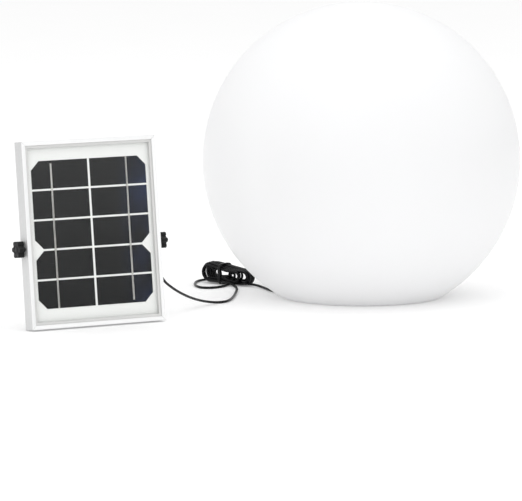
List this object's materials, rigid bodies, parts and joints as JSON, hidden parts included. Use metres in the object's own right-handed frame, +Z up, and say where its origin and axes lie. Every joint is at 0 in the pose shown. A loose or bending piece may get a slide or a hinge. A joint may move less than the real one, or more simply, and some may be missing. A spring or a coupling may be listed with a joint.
{
  "type": "floating pool light",
  "caption": "White ball lamp with a flat base and sealed lamp module below, fed by a framed solar panel on a folding stand through a thin black lead gathered in a hank.",
  "frame": {"origin": "centre of the globe's flat base, on the surface it stands on", "axes": "+Z up, +X from the solar panel's side to the globe, +Y to the back"},
  "size_m": [0.6235, 0.5334, 0.3727],
  "materials": {
    "globe_white": "rotomoulded polyethylene, smooth satin",
    "module_grey": "fine matt",
    "brass": "turned",
    "rubber_black": "matt",
    "steel": "plain stainless",
    "dome_clear": "frosted clear",
    "board_white": "solder mask",
    "led": "encapsulated",
    "battery_wrap": "shrink sleeve",
    "black_plastic": "moulded, fine matt",
    "board_green": "solder mask",
    "nylon": "moulded",
    "button_red": "moulded",
    "frame_white": "powder coated, satin",
    "aluminium": "anodised",
    "panel_seal": "sealant",
    "panel_glass": "clear float",
    "backsheet": "laminate film",
    "cell": "silicon behind glass",
    "ribbon": "tinned copper",
    "lead_black": "rubber sheath"
  },
  "bodies": {
    "root": {"backsheet": "backsheet", "base_gasket": "rubber_black", "battery_1": "battery_wrap", "battery_2": "battery_wrap", "battery_holder": "black_plastic", "board_components": "black_plastic", "board_standoffs": "nylon", "brass_inserts": "brass", "button_boot": "rubber_black", "cell_ribbons": "ribbon", "control_board": "board_green", "corner_keys": "aluminium", "dome_seal": "rubber_black", "frame_bottom": "frame_white", "frame_left": "frame_white", "frame_right": "frame_white", "frame_top": "frame_white", "globe_gland": "black_plastic", "globe_shell": "globe_white", "junction_box": "black_plastic", "junction_lid": "black_plastic", "junction_screws": "steel", "knob_washers": "steel", "lead_globe_side": "lead_black", "lead_hank": "lead_black", "lead_loop": "lead_black", "lead_panel_side": "lead_black", "lead_tie": "black_plastic", "led_board": "board_white", "leds": "led", "light_dome": "dome_clear", "module_housing": "module_grey", "module_screws": "steel", "panel_gland": "black_plastic", "panel_glass": "panel_glass", "panel_seal": "panel_seal", "pivot_spacers": "black_plastic", "solar_cell_1_1": "cell", "solar_cell_1_2": "cell", "solar_cell_2_1": "cell", "solar_cell_2_2": "cell", "solar_cell_3_1": "cell", "solar_cell_3_2": "cell", "solar_cell_4_1": "cell", "solar_cell_4_2": "cell", "solar_cell_5_1": "cell", "solar_cell_5_2": "cell", "switch_board": "board_green", "tact_switch": "black_plastic", "terminal_block": "black_plastic"},
    "stand": {"stand": "aluminium", "stand_nuts": "steel"},
    "knob_left": {"knob_left": "black_plastic", "stud_left": "steel"},
    "knob_right": {"knob_right": "black_plastic", "stud_right": "steel"},
    "button": {"power_button": "button_red", "button_clip": "steel"}
  },
  "joints": [
    {"name": "stand_fold", "type": "hinge", "parent": "root", "child": "stand", "pos_m": [-0.33166, -0.26768, 0.09711], "axis": [0.8616, 0.5075, 0], "range_deg": [-6, 95]},
    {"name": "knob_left_turn", "type": "hinge", "parent": "stand", "child": "knob_left", "pos_m": [-0.41351, -0.31589, 0.09711], "axis": [-0.8616, -0.5075, 0], "range_deg": [0, 360]},
    {"name": "knob_right_turn", "type": "hinge", "parent": "stand", "child": "knob_right", "pos_m": [-0.2498, -0.21946, 0.09711], "axis": [0.8616, 0.5075, 0], "range_deg": [0, 360]},
    {"name": "button_press", "type": "slide", "parent": "root", "child": "button", "axis": [0, 0, 1], "range_m": [0, 0.0015], "stiffness_N_per_m": 500, "deforming": ["button_boot"]}
  ]
}
